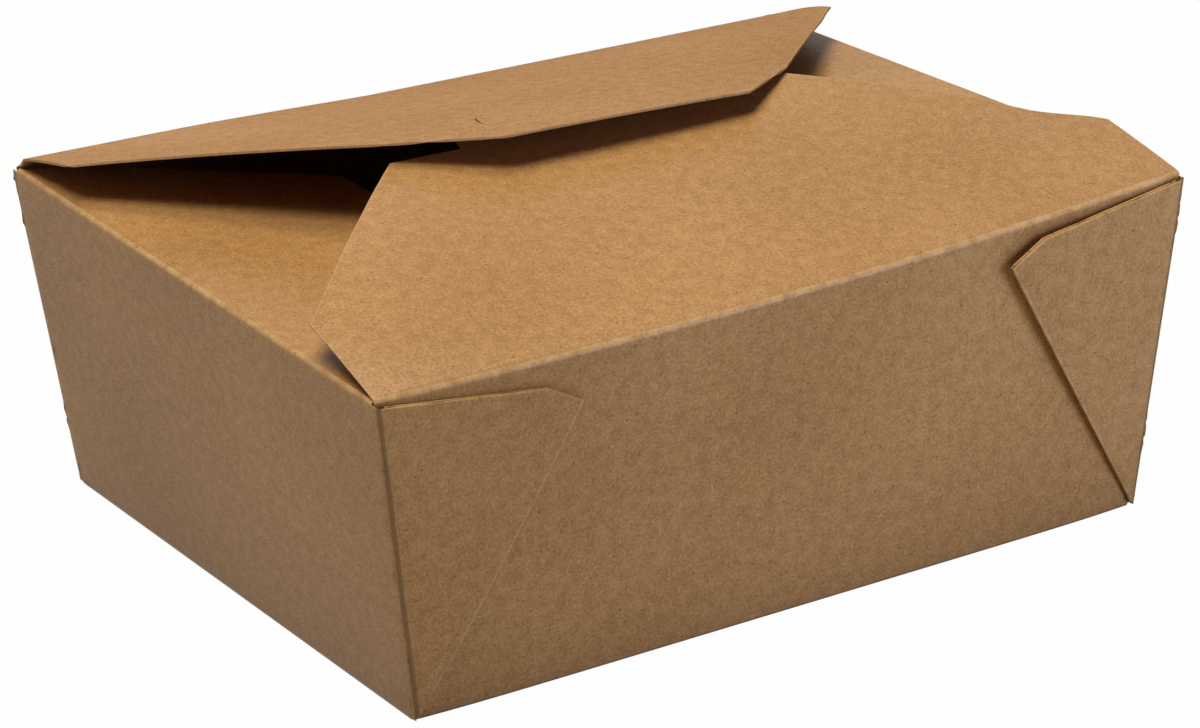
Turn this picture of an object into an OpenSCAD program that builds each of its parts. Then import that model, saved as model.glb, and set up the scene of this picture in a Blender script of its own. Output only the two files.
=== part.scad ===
// Folded kraft board food box, closed but not pressed flat.
// One die-cut sheet makes the base, four leaning walls, the web corners that fold
// flat on the long walls, two side flaps and the front flap with its round tongue.
// The back flap closes over the front flap and swings up on its crease.
// The long side lies along X, the front wall faces -Y, the base stands on Z = 0.

/* [Box] */
// Length of the top, over the short walls
top_length = 172; // [160:1:190]
// Width of the top, over the folded webs
top_width = 134; // [127:1:146]
// Length of the base
base_length = 156; // [146:1:158]
// Width of the base, over the folded webs
base_width = 124.5; // [116:0.5:127]
// Height of the long walls up to their top creases
box_height = 63.5; // [50:0.5:90]

/* [Board] */
// Thickness of the board
card = 0.45; // [0.35:0.05:0.6]
// Air left between two layers that are folded flat on each other
layer_gap = 0.15; // [0.1:0.05:0.25]
// Room left along the back flap's crease so that it swings freely
crease_gap = 0.15; // [0.1:0.05:0.3]

/* [Web corners] */
// Length of the diagonal fold, as a share of the wall's slant height
fold_share = 0.985; // [0.9:0.005:1]
// Length of the web's top edge, from the corner to its chamfer
web_edge = 34; // [28:1:38]
// Slope of the web's top edge down from the corner, in degrees
web_slope = 9; // [6:1:12]
// Drop of the web's top corner below the long wall's crease
web_drop = 1; // [0.8:0.1:2]

/* [Front flap] */
// Lift of the front flap above level, in degrees
front_lift = 9; // [6:1:14]
// Depth of the front flap from crease to straight edge
front_depth = 67; // [60:1:72]
// Depth of the square shoulder before the mitre starts
front_shoulder = 21; // [16:1:30]
// Length of the straight edge between the mitres
front_edge = 85; // [76:1:96]
// Width of the tongue
tongue_width = 54; // [44:1:64]
// How far the tongue reaches past the straight edge
tongue_reach = 11; // [8:1:14]
// Radius of the tongue's two corners
tongue_round = 11; // [6:1:14]

/* [Back flap] */
// Depth of the back flap from crease to free edge
back_depth = 80; // [76:1:84]
// Depth of the square shoulder before the mitre starts
back_shoulder = 23; // [18:1:30]
// Width across the step where the mitre ends
back_step_width = 88; // [78:1:96]
// Depth of that step
back_step_depth = 67; // [60:1:70]
// Length of the free edge
back_edge = 53; // [48:1:66]
// Radius of the flap's gentle arch
arch_radius = 360; // [300:20:900]
// Air between the tongue's tip and the back flap
lid_gap = 0.35; // [0.3:0.05:1]

/* [Lock slit] */
// Width of the half-moon lip across its root
lip_width = 46; // [40:1:54]
// Depth of the half-moon lip
lip_reach = 17; // [12:1:20]
// Distance of the lip's root from the free edge
lip_setback = 12; // [10:1:15]
// Angle by which the lip stands up from the flap, in degrees
lip_lift = 2.2; // [1.5:0.1:4]
// Width of the cut round the lip
slit = 0.5; // [0.4:0.1:0.8]

/* [Side flaps] */
// Depth of each side flap
side_depth = 50; // [40:1:56]
// Slope of the side flaps down from their creases, in degrees
side_dip = 1.5; // [0:0.5:3]
// Drop of the short walls' creases below the long walls' creases
side_drop = 0.5; // [0.4:0.1:0.8]
// Width of a side flap's free edge
side_edge = 70; // [56:1:84]

/* [Hidden] */
$fn = 48;
kraft = "#a9825a";
kraft_lid = "#b98f61";

// Lean of the walls out of plumb
long_lean = atan((top_width - base_width) / 2 / box_height);
short_lean = atan((top_length - base_length) / 2 / box_height);

// Each panel is placed by its middle plane, half a board above or inside its face
half = card / 2;
layer = card + layer_gap;
bead = 0.9 * half;
score_end = 1.5 * card;
rise = box_height - half;
short_rise = rise - side_drop;
long_slant = rise / cos(long_lean);
short_slant = short_rise / cos(short_lean);

// Middle planes of the walls at the base and at their creases
long_foot = base_width / 2 - (2 * layer + half) / cos(long_lean);
short_foot = base_length / 2 - half / cos(short_lean);
long_head = long_foot + rise * tan(long_lean);
short_head = short_foot + short_rise * tan(short_lean);
long_end = short_foot + rise * tan(short_lean);

// The short walls reach out to the middle plane of the webs' outer layer
web_foot = long_foot + 2 * layer / cos(long_lean);
web_head = web_foot + short_rise * tan(long_lean);

// The web left over at a base corner is folded in two along its bisector
long_corner = 90 + atan((long_end - short_foot) / long_slant);
short_corner = 90 + atan((web_head - web_foot) / short_slant);
web_half_angle = (360 - 90 - long_corner - short_corner) / 2;
fold_angle = long_corner - web_half_angle;
fold_length = fold_share * long_slant;

// Corners of a folded web, in the plane of the long wall
web_base = [-short_foot, 0];
web_top = web_base + (long_slant - web_drop) * [cos(long_corner), sin(long_corner)];
web_shoulder = web_top + web_edge * [cos(web_slope), -sin(web_slope)];
web_tip = web_base + fold_length * [cos(fold_angle), sin(fold_angle)];

// Half length of the two long flaps at their creases, just inside the short walls
flap_half = long_end - half - 0.35;
side_half = web_head - 3;

// The back flap rests its arch just over the tip of the tongue
arch_height = sqrt(arch_radius * arch_radius - back_depth * back_depth / 4);
tongue_depth = front_depth + tongue_reach;
tip_reach = 2 * long_head - tongue_depth * cos(front_lift);
tip_rise = tongue_depth * sin(front_lift) + card + lid_gap;
tip_arch = sqrt(arch_radius * arch_radius - pow(tip_reach - back_depth / 2, 2)) - arch_height;
back_lift = atan((tip_rise - tip_arch) / tip_reach);
back_start = bead + crease_gap;
lip_root = back_depth - lip_setback;

// Points along an arc, from one angle to the other
function arc(centre, radius, from, to, steps = 10) =
    [for (i = [0:steps]) let (a = from + (to - from) * i / steps)
        centre + radius * [cos(a), sin(a)]];

// The same outline on the other side of the flap, in reverse order
function mirrored(points) =
    [for (i = [len(points) - 1:-1:0]) [-points[i][0], points[i][1]]];

// Left half of each flap's outline, from crease to free edge
front_half = concat(
    [[-flap_half, 0], [-flap_half, front_shoulder], [-front_edge / 2, front_depth],
        [-tongue_width / 2, front_depth]],
    arc([-tongue_width / 2 + tongue_round, tongue_depth - tongue_round], tongue_round, 180, 90));

back_half = [[-flap_half, back_start], [-flap_half, back_shoulder],
    [-back_step_width / 2, back_step_depth], [-back_edge / 2, back_depth]];

side_half_outline = [[-side_half, 0], [-side_half + 2.5, 10],
    [-side_edge / 2, side_depth - 4], [-side_edge / 2 + 4, side_depth]];

// Half ellipse that bounds the lock lip, its round side towards the crease
function lip_outline(grow) =
    [for (i = [0:24]) let (a = 180 + 180 * i / 24)
        [(lip_width / 2 + grow) * cos(a), lip_root + (lip_reach + grow) * sin(a)]];

// A flat panel of board about its middle plane
module panel(points) {
    linear_extrude(height = card, center = true) polygon(points);
}

// A pressed crease or a closed fold between two points of the current plane.
// It stops a little short of both, as a scored line does at a corner.
module crease(from, to, radius = bead) {
    span = to - from;
    start = from + score_end * span / norm(span);
    translate([start[0], start[1], 0])
        rotate([0, 0, atan2(span[1], span[0])])
            rotate([0, 90, 0])
                cylinder(r = radius, h = norm(span) - 2 * score_end);
}

// Puts its children in the plane of the front wall, X along it and Y up it
module on_long_wall() {
    translate([0, -long_foot, half]) rotate([90 + long_lean, 0, 0]) children();
}

// Puts its children in the plane of the left wall
module on_short_wall() {
    rotate([0, 0, -90])
        translate([0, -short_foot, half]) rotate([90 + short_lean, 0, 0]) children();
}

// One corner web at the left end of the wall: two layers and the closed fold
module web_corner() {
    outline = [web_base, web_top, web_shoulder, web_tip];
    for (i = [1, 2]) translate([0, 0, i * layer]) panel(outline);
    translate([0, 0, 1.5 * layer]) crease(web_base, web_tip, 0.95 * (card + layer_gap / 2));
    translate([0, 0, 2 * layer]) crease(web_base, web_top);
}

// A long wall with the webs of both its corners
module long_wall() {
    on_long_wall() {
        panel([web_base, [-long_end, long_slant], [long_end, long_slant], [short_foot, 0]]);
        crease(web_base, [short_foot, 0]);
        web_corner();
        mirror([1, 0, 0]) web_corner();
    }
}

// A short wall, as wide as the outer layers of the webs that it runs into
module short_wall() {
    on_short_wall() {
        panel([[-web_foot, 0], [-web_head, short_slant], [web_head, short_slant], [web_foot, 0]]);
        crease([-web_foot, 0], [web_foot, 0]);
    }
}

// A side flap, folded in level under the two long flaps
module side_flap() {
    rotate([0, 0, -90]) translate([0, -short_head, short_rise + half]) rotate([-side_dip, 0, 0]) {
        panel(concat(side_half_outline, mirrored(side_half_outline)));
        crease([-side_half, 0], [side_half, 0]);
    }
}

// The front flap with its tongue, folded in over the side flaps and standing a little up
module front_flap() {
    translate([0, -long_head, box_height]) rotate([front_lift, 0, 0]) {
        panel(concat(front_half, mirrored(front_half)));
        crease([-flap_half, 0], [flap_half, 0]);
    }
}

// A curved sheet through the crease and the free edge of the back flap
module arched_sheet() {
    translate([0, back_depth / 2, -arch_height])
        rotate([0, 90, 0])
            difference() {
                cylinder(r = arch_radius + half, h = top_length, center = true, $fn = 720);
                cylinder(r = arch_radius - half, h = top_length + 2, center = true, $fn = 720);
            }
}

// A stretch of the arched sheet with the given outline
module arched_panel(points) {
    intersection() {
        arched_sheet();
        translate([0, 0, -10]) linear_extrude(height = 30) polygon(points);
    }
}

// The body of the carton: everything that stays put when the back flap is lifted
module carton_body() {
    color(kraft) {
        translate([-short_foot, -long_foot, 0]) cube([2 * short_foot, 2 * long_foot, card]);
        for (turn = [0, 180]) rotate([0, 0, turn]) {
            long_wall();
            short_wall();
            side_flap();
        }
        translate([0, long_head, box_height]) crease([-flap_half, 0], [flap_half, 0]);
        front_flap();
    }
}

// The back flap, with the half-moon lip of the lock slit standing up from its arch
module back_flap() {
    color(kraft_lid)
        translate([0, long_head, box_height]) rotate([0, 0, 180]) rotate([back_lift, 0, 0]) {
            difference() {
                arched_panel(concat(back_half, mirrored(back_half)));
                translate([0, 0, -10]) linear_extrude(height = 30) polygon(lip_outline(slit));
            }
            translate([0, lip_root + half, 0]) rotate([-lip_lift, 0, 0])
                translate([0, -lip_root - half, 0])
                    arched_panel(concat(lip_outline(0),
                        [[lip_width / 2, lip_root + card], [-lip_width / 2, lip_root + card]]));
        }
}

carton_body();
back_flap();
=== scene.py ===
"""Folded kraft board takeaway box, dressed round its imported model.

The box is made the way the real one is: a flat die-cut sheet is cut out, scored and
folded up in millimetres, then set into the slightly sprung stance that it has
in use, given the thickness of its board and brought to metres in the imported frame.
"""
import logging
import math
from dataclasses import dataclass, field
from enum import Enum
from typing import Any, Iterable, Sequence

import bpy
import numpy as np
from mathutils import Matrix, Vector


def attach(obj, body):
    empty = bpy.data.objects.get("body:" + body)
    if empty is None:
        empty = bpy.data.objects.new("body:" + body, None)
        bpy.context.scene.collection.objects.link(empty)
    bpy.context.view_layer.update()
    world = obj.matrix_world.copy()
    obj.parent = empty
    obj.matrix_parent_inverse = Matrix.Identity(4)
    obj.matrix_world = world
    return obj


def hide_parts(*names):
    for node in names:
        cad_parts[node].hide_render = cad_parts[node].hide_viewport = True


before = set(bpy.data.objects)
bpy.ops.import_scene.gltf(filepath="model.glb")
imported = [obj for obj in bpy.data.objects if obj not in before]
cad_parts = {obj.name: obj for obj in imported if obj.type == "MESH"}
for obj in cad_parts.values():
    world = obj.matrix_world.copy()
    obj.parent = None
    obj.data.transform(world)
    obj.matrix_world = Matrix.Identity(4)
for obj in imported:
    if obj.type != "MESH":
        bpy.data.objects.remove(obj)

LOG = logging.getLogger("takeaway_box")
# A millimetre in metres
MM = 0.001
# Tolerance of cuts, and the distance within which an edge lies on its score
TINY = 1e-3
NEAR = 0.3
# Distance noted where a piece has no score of a kind
FAR = 99.0
# Distance of a guard line from the outermost line of its score
GUARD = 0.9

Point = tuple[float, float]
Tree = bpy.types.NodeTree
Socket = bpy.types.NodeSocket


class Panel(Enum):
    """The panels of the flat sheet, each bounded by its creases and cut edges."""

    BASE = 1
    FRONT_WALL = 2
    BACK_WALL = 3
    LEFT_WALL = 4
    RIGHT_WALL = 5
    FRONT_FLAP = 6
    LEFT_FLAP = 7
    RIGHT_FLAP = 8
    WEB_OUTER_FRONT_LEFT = 11
    WEB_OUTER_FRONT_RIGHT = 12
    WEB_OUTER_BACK_LEFT = 13
    WEB_OUTER_BACK_RIGHT = 14
    WEB_INNER_FRONT_LEFT = 21
    WEB_INNER_FRONT_RIGHT = 22
    WEB_INNER_BACK_LEFT = 23
    WEB_INNER_BACK_RIGHT = 24
    BACK_FLAP = 31


def web_pair(hand: int, face: int) -> tuple[Panel, Panel]:
    """Outer and inner layer of the web in the quarter with these signs of x and y."""
    corner = f"{'FRONT' if face < 0 else 'BACK'}_{'LEFT' if hand < 0 else 'RIGHT'}"
    return Panel[f"WEB_OUTER_{corner}"], Panel[f"WEB_INNER_{corner}"]


def sides(outline: Sequence[Point]) -> Iterable[tuple[Point, Point]]:
    """Each stretch of a closed outline, as its start and its end."""
    return zip(outline, (*outline[1:], outline[0]))


def inside(points: np.ndarray, outline: Sequence[Point]) -> np.ndarray:
    """Tells which points of the flat sheet lie inside an outline.

    Args:
        points: one row of x and y for each point.
        outline: corners of the outline, in order.

    Returns:
        True for each point that lies inside.
    """
    hits = np.zeros(len(points), bool)
    for (x0, y0), (x1, y1) in sides(outline):
        crosses = (y0 > points[:, 1]) != (y1 > points[:, 1])
        with np.errstate(divide="ignore", invalid="ignore"):
            at = x0 + (points[:, 1] - y0) * (x1 - x0) / (y1 - y0)
        hits ^= crosses & (points[:, 0] < at)
    return hits


def reach(points: np.ndarray, start: Point, end: Point) -> np.ndarray:
    """Distance of each point from the straight stretch between two points."""
    a, b = np.array(start), np.array(end)
    along = np.clip((points - a) @ (b - a) / max((b - a) @ (b - a), TINY**2), 0, 1)
    return np.linalg.norm(points - a - along[:, None] * (b - a), axis=1)


def mirrored(points: Iterable[Point], side: int, face: int) -> list[Point]:
    """Points of the front left quarter, moved to the quarter with these signs of x and y."""
    return [(-x * side, -y * face) for x, y in points]


def across(points: Sequence[Point], side: int, face: int) -> list[Point]:
    """An outline of half a panel, closed by its own mirror image."""
    return [*points, *reversed(mirrored(points, side, face))]


def smooth_step(value: np.ndarray) -> np.ndarray:
    """Eases a value from 0 to 1, and holds it there outside."""
    held = np.clip(value, 0, 1)
    return held * held * (3 - 2 * held)


def read(items: Any, name: str, width: int = 1, kind: type = float) -> np.ndarray:
    """Reads one value of every item of a mesh, in rows of the given width."""
    values = np.empty(len(items) * width, kind)
    items.foreach_get(name, values)
    return values if width == 1 else values.reshape(-1, width)


@dataclass(frozen=True)
class Score:
    """A scored line of the sheet and the fold round it.

    What folds lies to the left of the line from start to end. A positive angle folds
    it towards +Z. A score with a groove place gets a dark band at that place past its
    middle, partly a pressed mark and partly painted shade of the bend or of the base
    edge, and any other gets a pale band, partly wear from rubbing and partly a painted
    highlight of the rounded fold.
    """

    start: Point
    end: Point
    angle: float
    radius: float
    lines: int = 4
    groove: float | None = None

    @property
    def width(self) -> float:
        """Width of the board that goes round the bend."""
        return self.radius * math.radians(self.angle)

    @property
    def places(self) -> list[float]:
        """Distances of the single lines from the middle of the score."""
        return [(i - (self.lines - 1) / 2) * self.width / self.lines for i in range(self.lines)]

    @property
    def heading(self) -> float:
        """Direction from start to end, in degrees from +X."""
        return math.degrees(math.atan2(self.end[1] - self.start[1], self.end[0] - self.start[0]))

    @property
    def normal(self) -> np.ndarray:
        """Unit vector across the score, towards what folds."""
        turned = math.radians(self.heading + 90)
        return np.array((math.cos(turned), math.sin(turned)))

    def line(self, place: float) -> tuple[np.ndarray, np.ndarray]:
        """Start and end of the line that runs this far past the middle of the score."""
        shift = self.normal * place
        return np.array(self.start) + shift, np.array(self.end) + shift

    def past(self, points: np.ndarray) -> np.ndarray:
        """How far each point lies past the middle of the score."""
        return (points - np.array(self.start)) @ self.normal

    def mirrored(self, side: int, face: int, angle: float | None = None) -> "Score":
        """The same score in another quarter of the sheet, with the fold on its left."""
        start, end = mirrored((self.start, self.end), side, face)
        if side * face < 0:
            start, end = end, start
        folded = self.angle if angle is None else angle
        return Score(start, end, folded, self.radius, self.lines, self.groove)


def setback(angle: float, radius: float) -> float:
    """How much shorter the board is round a bend than along its two planes, on each side."""
    return radius * (math.tan(math.radians(angle) / 2) - math.radians(angle) / 2)


class FlatSheet:
    """A sheet of board on the bench, in millimetres, that is cut, scored and folded."""

    def __init__(self, name: str, low: Point, high: Point, pitch: float) -> None:
        """Lays out the sheet.

        Args:
            name: the piece's name.
            low, high: opposite corners of the sheet.
            pitch: size of the mesh's squares.
        """
        bpy.ops.object.select_all(action="DESELECT")
        wide, deep = high[0] - low[0], high[1] - low[1]
        bpy.ops.mesh.primitive_grid_add(
            x_subdivisions=round(wide / pitch), y_subdivisions=round(deep / pitch), size=1
        )
        self.obj = bpy.context.object
        self.obj.name = self.obj.data.name = name
        self.around = 1.5 * pitch
        self.panels: dict[Panel, list[Point]] = {}
        self.scores: list[Score] = []
        self.flat = np.empty((0, 2))
        self.panel_of_face = np.empty(0, int)
        with self.editing():
            select_all()
            bpy.ops.transform.resize(value=(wide, deep, 1))
            bpy.ops.transform.translate(value=((low[0] + high[0]) / 2, (low[1] + high[1]) / 2, 0))

    def editing(self) -> "Editing":
        """Edit mode on this sheet, as a with block."""
        return Editing(self.obj)

    def face_centres(self) -> np.ndarray:
        """Middle of each face, x and y."""
        return read(self.obj.data.polygons, "center", 3)[:, :2]

    def points(self) -> np.ndarray:
        """Every vertex, x, y and z."""
        return read(self.obj.data.vertices, "co", 3)

    def set_points(self, places: np.ndarray) -> None:
        """Moves every vertex to its new place."""
        self.obj.data.vertices.foreach_set("co", places.ravel())
        self.obj.data.update()

    def corners(self, faces: np.ndarray) -> tuple[np.ndarray, np.ndarray]:
        """Which vertices and which edges belong to the chosen faces."""
        mesh = self.obj.data
        chosen = np.repeat(faces, read(mesh.polygons, "loop_total", kind=int))
        vertices, edges = np.zeros(len(mesh.vertices), bool), np.zeros(len(mesh.edges), bool)
        vertices[read(mesh.loops, "vertex_index", kind=int)[chosen]] = True
        edges[read(mesh.loops, "edge_index", kind=int)[chosen]] = True
        return vertices, edges

    def select(self, mode: str, vertices: np.ndarray, edges: Any = None, faces: Any = None) -> None:
        """Selects vertices, edges and faces, and nothing else.

        Args:
            mode: what is selected, VERTEX, EDGE or FACE.
            vertices, edges, faces: True for each one that is selected.
        """
        mesh = self.obj.data
        for items, chosen in ((mesh.polygons, faces), (mesh.edges, edges), (mesh.vertices, vertices)):
            items.foreach_set("select", np.zeros(len(items), bool) if chosen is None else chosen)
        modes = tuple(mode == one for one in ("VERTEX", "EDGE", "FACE"))
        bpy.context.tool_settings.mesh_select_mode = modes

    def select_faces(self, chosen: np.ndarray) -> None:
        """Selects faces with all their edges and vertices."""
        self.select("FACE", *self.corners(chosen), chosen)

    def select_edges(self, chosen: np.ndarray) -> None:
        """Selects edges with their ends."""
        mesh = self.obj.data
        vertices = np.zeros(len(mesh.vertices), bool)
        vertices[read(mesh.edges, "vertices", 2, int)[chosen].ravel()] = True
        self.select("EDGE", vertices, chosen)

    def slice(self, start: Point, end: Point, chosen: np.ndarray) -> None:
        """Adds edges along the line through two points, on the chosen faces."""
        self.select_faces(chosen)
        if not chosen.any():
            return
        normal = Vector((end[1] - start[1], start[0] - end[0], 0)).normalized()
        with self.editing():
            bpy.ops.mesh.bisect(plane_co=(*start, 0), plane_no=normal, threshold=TINY)

    def near(self, stretch: tuple[Point, Point]) -> np.ndarray:
        """Faces in the box round a stretch of an outline."""
        ends = np.array(stretch)
        centres = self.face_centres()
        low, high = ends.min(0) - self.around, ends.max(0) + self.around
        return ((centres > low) & (centres < high)).all(1)

    def cut_out(self, panels: dict[Panel, list[Point]]) -> None:
        """Cuts the sheet to its panels and throws the waste away.

        Args:
            panels: the outline of each panel.
        """
        self.panels = panels
        for outline in panels.values():
            for start, end in sides(outline):
                if math.dist(start, end) > TINY:
                    self.slice(start, end, self.near((start, end)))
        self.label()
        self.select_faces(self.panel_of_face == 0)
        with self.editing():
            bpy.ops.mesh.delete(type="FACE")
            select_all()
            bpy.ops.mesh.remove_doubles(threshold=5 * TINY)
            bpy.ops.mesh.dissolve_degenerate(threshold=TINY)

    def label(self) -> None:
        """Notes which panel each face belongs to, and where each vertex lies on the sheet."""
        centres = self.face_centres()
        self.panel_of_face = np.zeros(len(centres), int)
        for panel, outline in self.panels.items():
            self.panel_of_face[inside(centres, outline)] = panel.value
        self.flat = self.points()[:, :2].copy()

    def in_panels(self, panels: Iterable[Panel]) -> np.ndarray:
        """Vertices of the faces of some panels."""
        return self.corners(np.isin(self.panel_of_face, [panel.value for panel in panels]))[0]

    def score(self, score: Score, panels: Iterable[Panel]) -> None:
        """Presses the lines of a score into some panels, with a guard line on each side."""
        wanted = [panel.value for panel in panels]
        guard = score.places[-1] + GUARD
        beside = (score.groove, score.groove + GUARD) if score.groove else ()
        for place in (-guard, *score.places, *beside, guard):
            self.label()
            chosen = np.isin(self.panel_of_face, wanted)
            chosen &= np.abs(score.past(self.face_centres())) < guard + self.around
            self.slice(*score.line(place), chosen)
        self.scores.append(score)

    def cut_edges(self) -> list[tuple[Point, Point]]:
        """The stretches of the outlines that are cut, and not scored."""
        found = []
        for outline in self.panels.values():
            for start, end in sides(outline):
                middle = (np.array([start]) + np.array([end])) / 2
                if all(reach(middle, score.start, score.end)[0] > NEAR for score in self.scores):
                    found.append((start, end))
        return found

    def note_distances(self, cut_edges: Iterable[tuple[Point, Point]]) -> None:
        """Stores each vertex's place on the sheet and its distance from scores and cut edges."""
        mesh = self.obj.data
        stretches = {"to_crease": [], "to_groove": [], "to_edge": list(cut_edges)}
        for score in self.scores:
            kind = "to_crease" if score.groove is None else "to_groove"
            stretches[kind].append(score.line(score.groove or 0))
        for name, lines in stretches.items():
            distance = np.full(len(self.flat), FAR)
            for start, end in lines:
                distance = np.minimum(distance, reach(self.flat, start, end))
            layer = mesh.attributes.new(name, "FLOAT", "POINT")
            layer.data.foreach_set("value", distance.astype(np.float32))
        for layer in list(mesh.uv_layers):
            mesh.uv_layers.remove(layer)
        sheet = mesh.uv_layers.new(name="sheet")
        corner_vertex = read(mesh.loops, "vertex_index", kind=int)
        sheet.data.foreach_set("uv", (self.flat[corner_vertex] * MM).ravel())

    def fold(self, score: Score, still: Panel, folds: Iterable[Panel]) -> None:
        """Folds panels round a score, by one small turn at each of its lines.

        Args:
            score: the score to fold at.
            still: the panel that stays put beside it.
            folds: the panels that turn.
        """
        past = score.past(self.flat)
        members = self.in_panels((still, *folds))
        start = (*score.start, 0)
        turning = members & (past > score.places[0] - TINY)
        self.select("VERTEX", turning)
        with self.editing():
            turn(-score.heading, "Z", start)
        for place in reversed(score.places):
            self.select("VERTEX", members & (past > place - TINY))
            with self.editing():
                turn(score.angle / score.lines, "X", (start[0], start[1] + place, 0))
        self.select("VERTEX", turning)
        with self.editing():
            turn(score.heading, "Z", start)

    def thicken(self, card: float) -> None:
        """Gives the sheet its thickness, with its own finish on each side and on the cut edges."""
        board = self.obj.modifiers.new("board", "SOLIDIFY")
        board.thickness = card
        board.offset = 0
        board.use_even_offset = True
        board.thickness_clamp = 1.0
        board.material_offset = 1
        board.material_offset_rim = 2
        self.activate()
        bpy.ops.object.modifier_apply(modifier=board.name)

    def activate(self) -> None:
        """Makes this sheet the one selected object."""
        bpy.ops.object.select_all(action="DESELECT")
        self.obj.select_set(True)
        bpy.context.view_layer.objects.active = self.obj

    def finish(self, body: str, node: str, finishes: Iterable[bpy.types.Material]) -> None:
        """Brings the piece to metres, dresses it and gives it its place in the frame.

        Args:
            body: the body that it moves with.
            node: the node that it replaces.
            finishes: material of the face up in the flat, of the other face and of the cut edges.
        """
        for material in finishes:
            self.obj.data.materials.append(material)
        with self.editing():
            select_all()
            bpy.ops.transform.resize(value=(MM, MM, MM), center_override=(0, 0, 0))
        self.activate()
        bpy.ops.object.shade_smooth_by_angle(angle=math.radians(38))
        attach(self.obj, body)
        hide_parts(node)
        LOG.info("%s: %d faces, replaces %s", self.obj.name, len(self.obj.data.polygons), node)


def select_all() -> None:
    """Selects everything in the mesh that is open for editing."""
    bpy.ops.mesh.select_all(action="SELECT")


class Editing:
    """Edit mode on one object, as a with block."""

    def __init__(self, obj: bpy.types.Object) -> None:
        """Names the object."""
        self.obj = obj

    def __enter__(self) -> None:
        """Opens the object's mesh for editing."""
        bpy.context.view_layer.objects.active = self.obj
        bpy.ops.object.mode_set(mode="EDIT")

    def __exit__(self, *_: Any) -> None:
        """Goes back to object mode."""
        bpy.ops.object.mode_set(mode="OBJECT")


def turn(degrees: float, axis: str, pivot: tuple[float, float, float]) -> None:
    """Turns what is selected round a world axis through a pivot, by the right-hand rule."""
    bpy.ops.transform.rotate(value=-math.radians(degrees), orient_axis=axis, center_override=pivot)


@dataclass(frozen=True)
class BoxSizes:
    """Driving sizes of the box, in millimetres and degrees, and what follows from them."""

    top_length: float = 172
    top_width: float = 134
    base_length: float = 156
    base_width: float = 124.5
    height: float = 63.5
    card: float = 0.45
    layer_gap: float = 0.15
    # Bend radius at the base, at the top creases and at the corners
    foot_radius: float = 0.35
    head_radius: float = 0.6
    corner_radius: float = 0.3
    # Drop of the short walls' creases, and room at each end of a long flap
    side_drop: float = 0.3
    flap_room: float = 0.35

    @property
    def half(self) -> float:
        """Half a board's thickness."""
        return self.card / 2

    @property
    def layer(self) -> float:
        """Distance between the middles of two layers that lie on each other."""
        return self.card + self.layer_gap

    @property
    def rise(self) -> float:
        """Height of the top crease over the base's middle plane."""
        return self.height - self.half

    @property
    def long_lean(self) -> float:
        """Lean of the front and back walls out of plumb."""
        return math.degrees(math.atan2((self.top_width - self.base_width) / 2, self.height))

    @property
    def short_lean(self) -> float:
        """Lean of the left and right walls out of plumb."""
        return math.degrees(math.atan2((self.top_length - self.base_length) / 2, self.height))

    @property
    def long_slant(self) -> float:
        """Depth of the front and back walls, from crease to crease."""
        return self.rise / math.cos(math.radians(self.long_lean))

    @property
    def short_slant(self) -> float:
        """Depth of the left and right walls, from crease to crease."""
        return (self.rise - self.side_drop) / math.cos(math.radians(self.short_lean))

    @property
    def long_foot(self) -> float:
        """Distance of the front wall's middle plane from the centre, at the base."""
        return self.base_width / 2 - (2 * self.layer + self.half) / math.cos(math.radians(self.long_lean))

    @property
    def short_foot(self) -> float:
        """Distance of the left wall's middle plane from the centre, at the base."""
        return self.base_length / 2 - self.half / math.cos(math.radians(self.short_lean))

    @property
    def long_head(self) -> float:
        """Distance of the front and back top creases from the centre."""
        return self.long_foot + self.rise * math.tan(math.radians(self.long_lean))

    @property
    def long_end(self) -> float:
        """Half length of the front and back walls along their top creases."""
        return self.short_foot + self.rise * math.tan(math.radians(self.short_lean))

    @property
    def web_foot(self) -> float:
        """Half width of the left and right walls at the base, out to the webs."""
        return self.long_foot + 2 * self.layer / math.cos(math.radians(self.long_lean))

    @property
    def web_head(self) -> float:
        """Half width of the left and right walls at the top."""
        return self.web_foot + (self.rise - self.side_drop) * math.tan(math.radians(self.long_lean))

    @property
    def flap_half(self) -> float:
        """Half length of the front and back flaps at their creases."""
        return self.long_end - self.half - self.flap_room


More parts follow.
